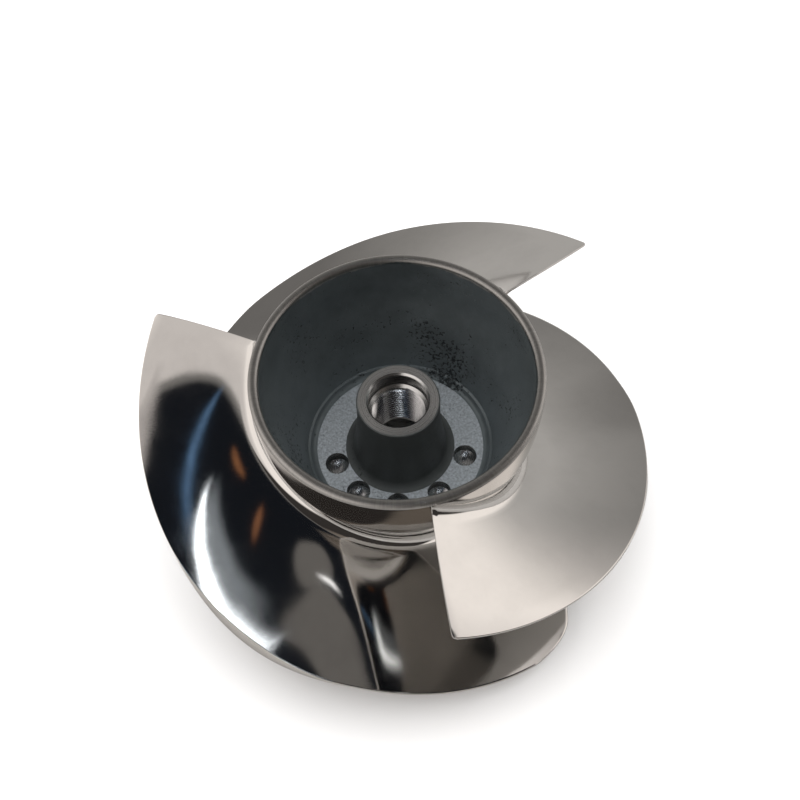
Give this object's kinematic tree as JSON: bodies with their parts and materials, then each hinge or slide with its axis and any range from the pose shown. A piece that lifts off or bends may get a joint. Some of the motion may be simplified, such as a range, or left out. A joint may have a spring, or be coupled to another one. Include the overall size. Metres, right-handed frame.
{
  "type": "personal watercraft impeller",
  "caption": "Cast stainless jet-pump impeller: an open conical hub with a threaded boss inside it, a splined nose below and long swept helical blades around it.",
  "frame": {"origin": "on the shaft axis, in the plane of the hub's nose face, on which the impeller stands", "axes": "+Z along the shaft axis towards the outlet, so that the open mouth of the hub faces up; -Y faces the viewer of the picture; the first blade's trailing edge lies 38.2 degrees from +X towards +Y"},
  "size_m": [0.1561, 0.1551, 0.0755],
  "materials": {
    "polished_stainless_steel": "mirror polished blades and outer hub wall, as-cast bowl, turned boss face"
  },
  "bodies": {
    "root": {"impeller_casting": "polished_stainless_steel"}
  },
  "joints": []
}
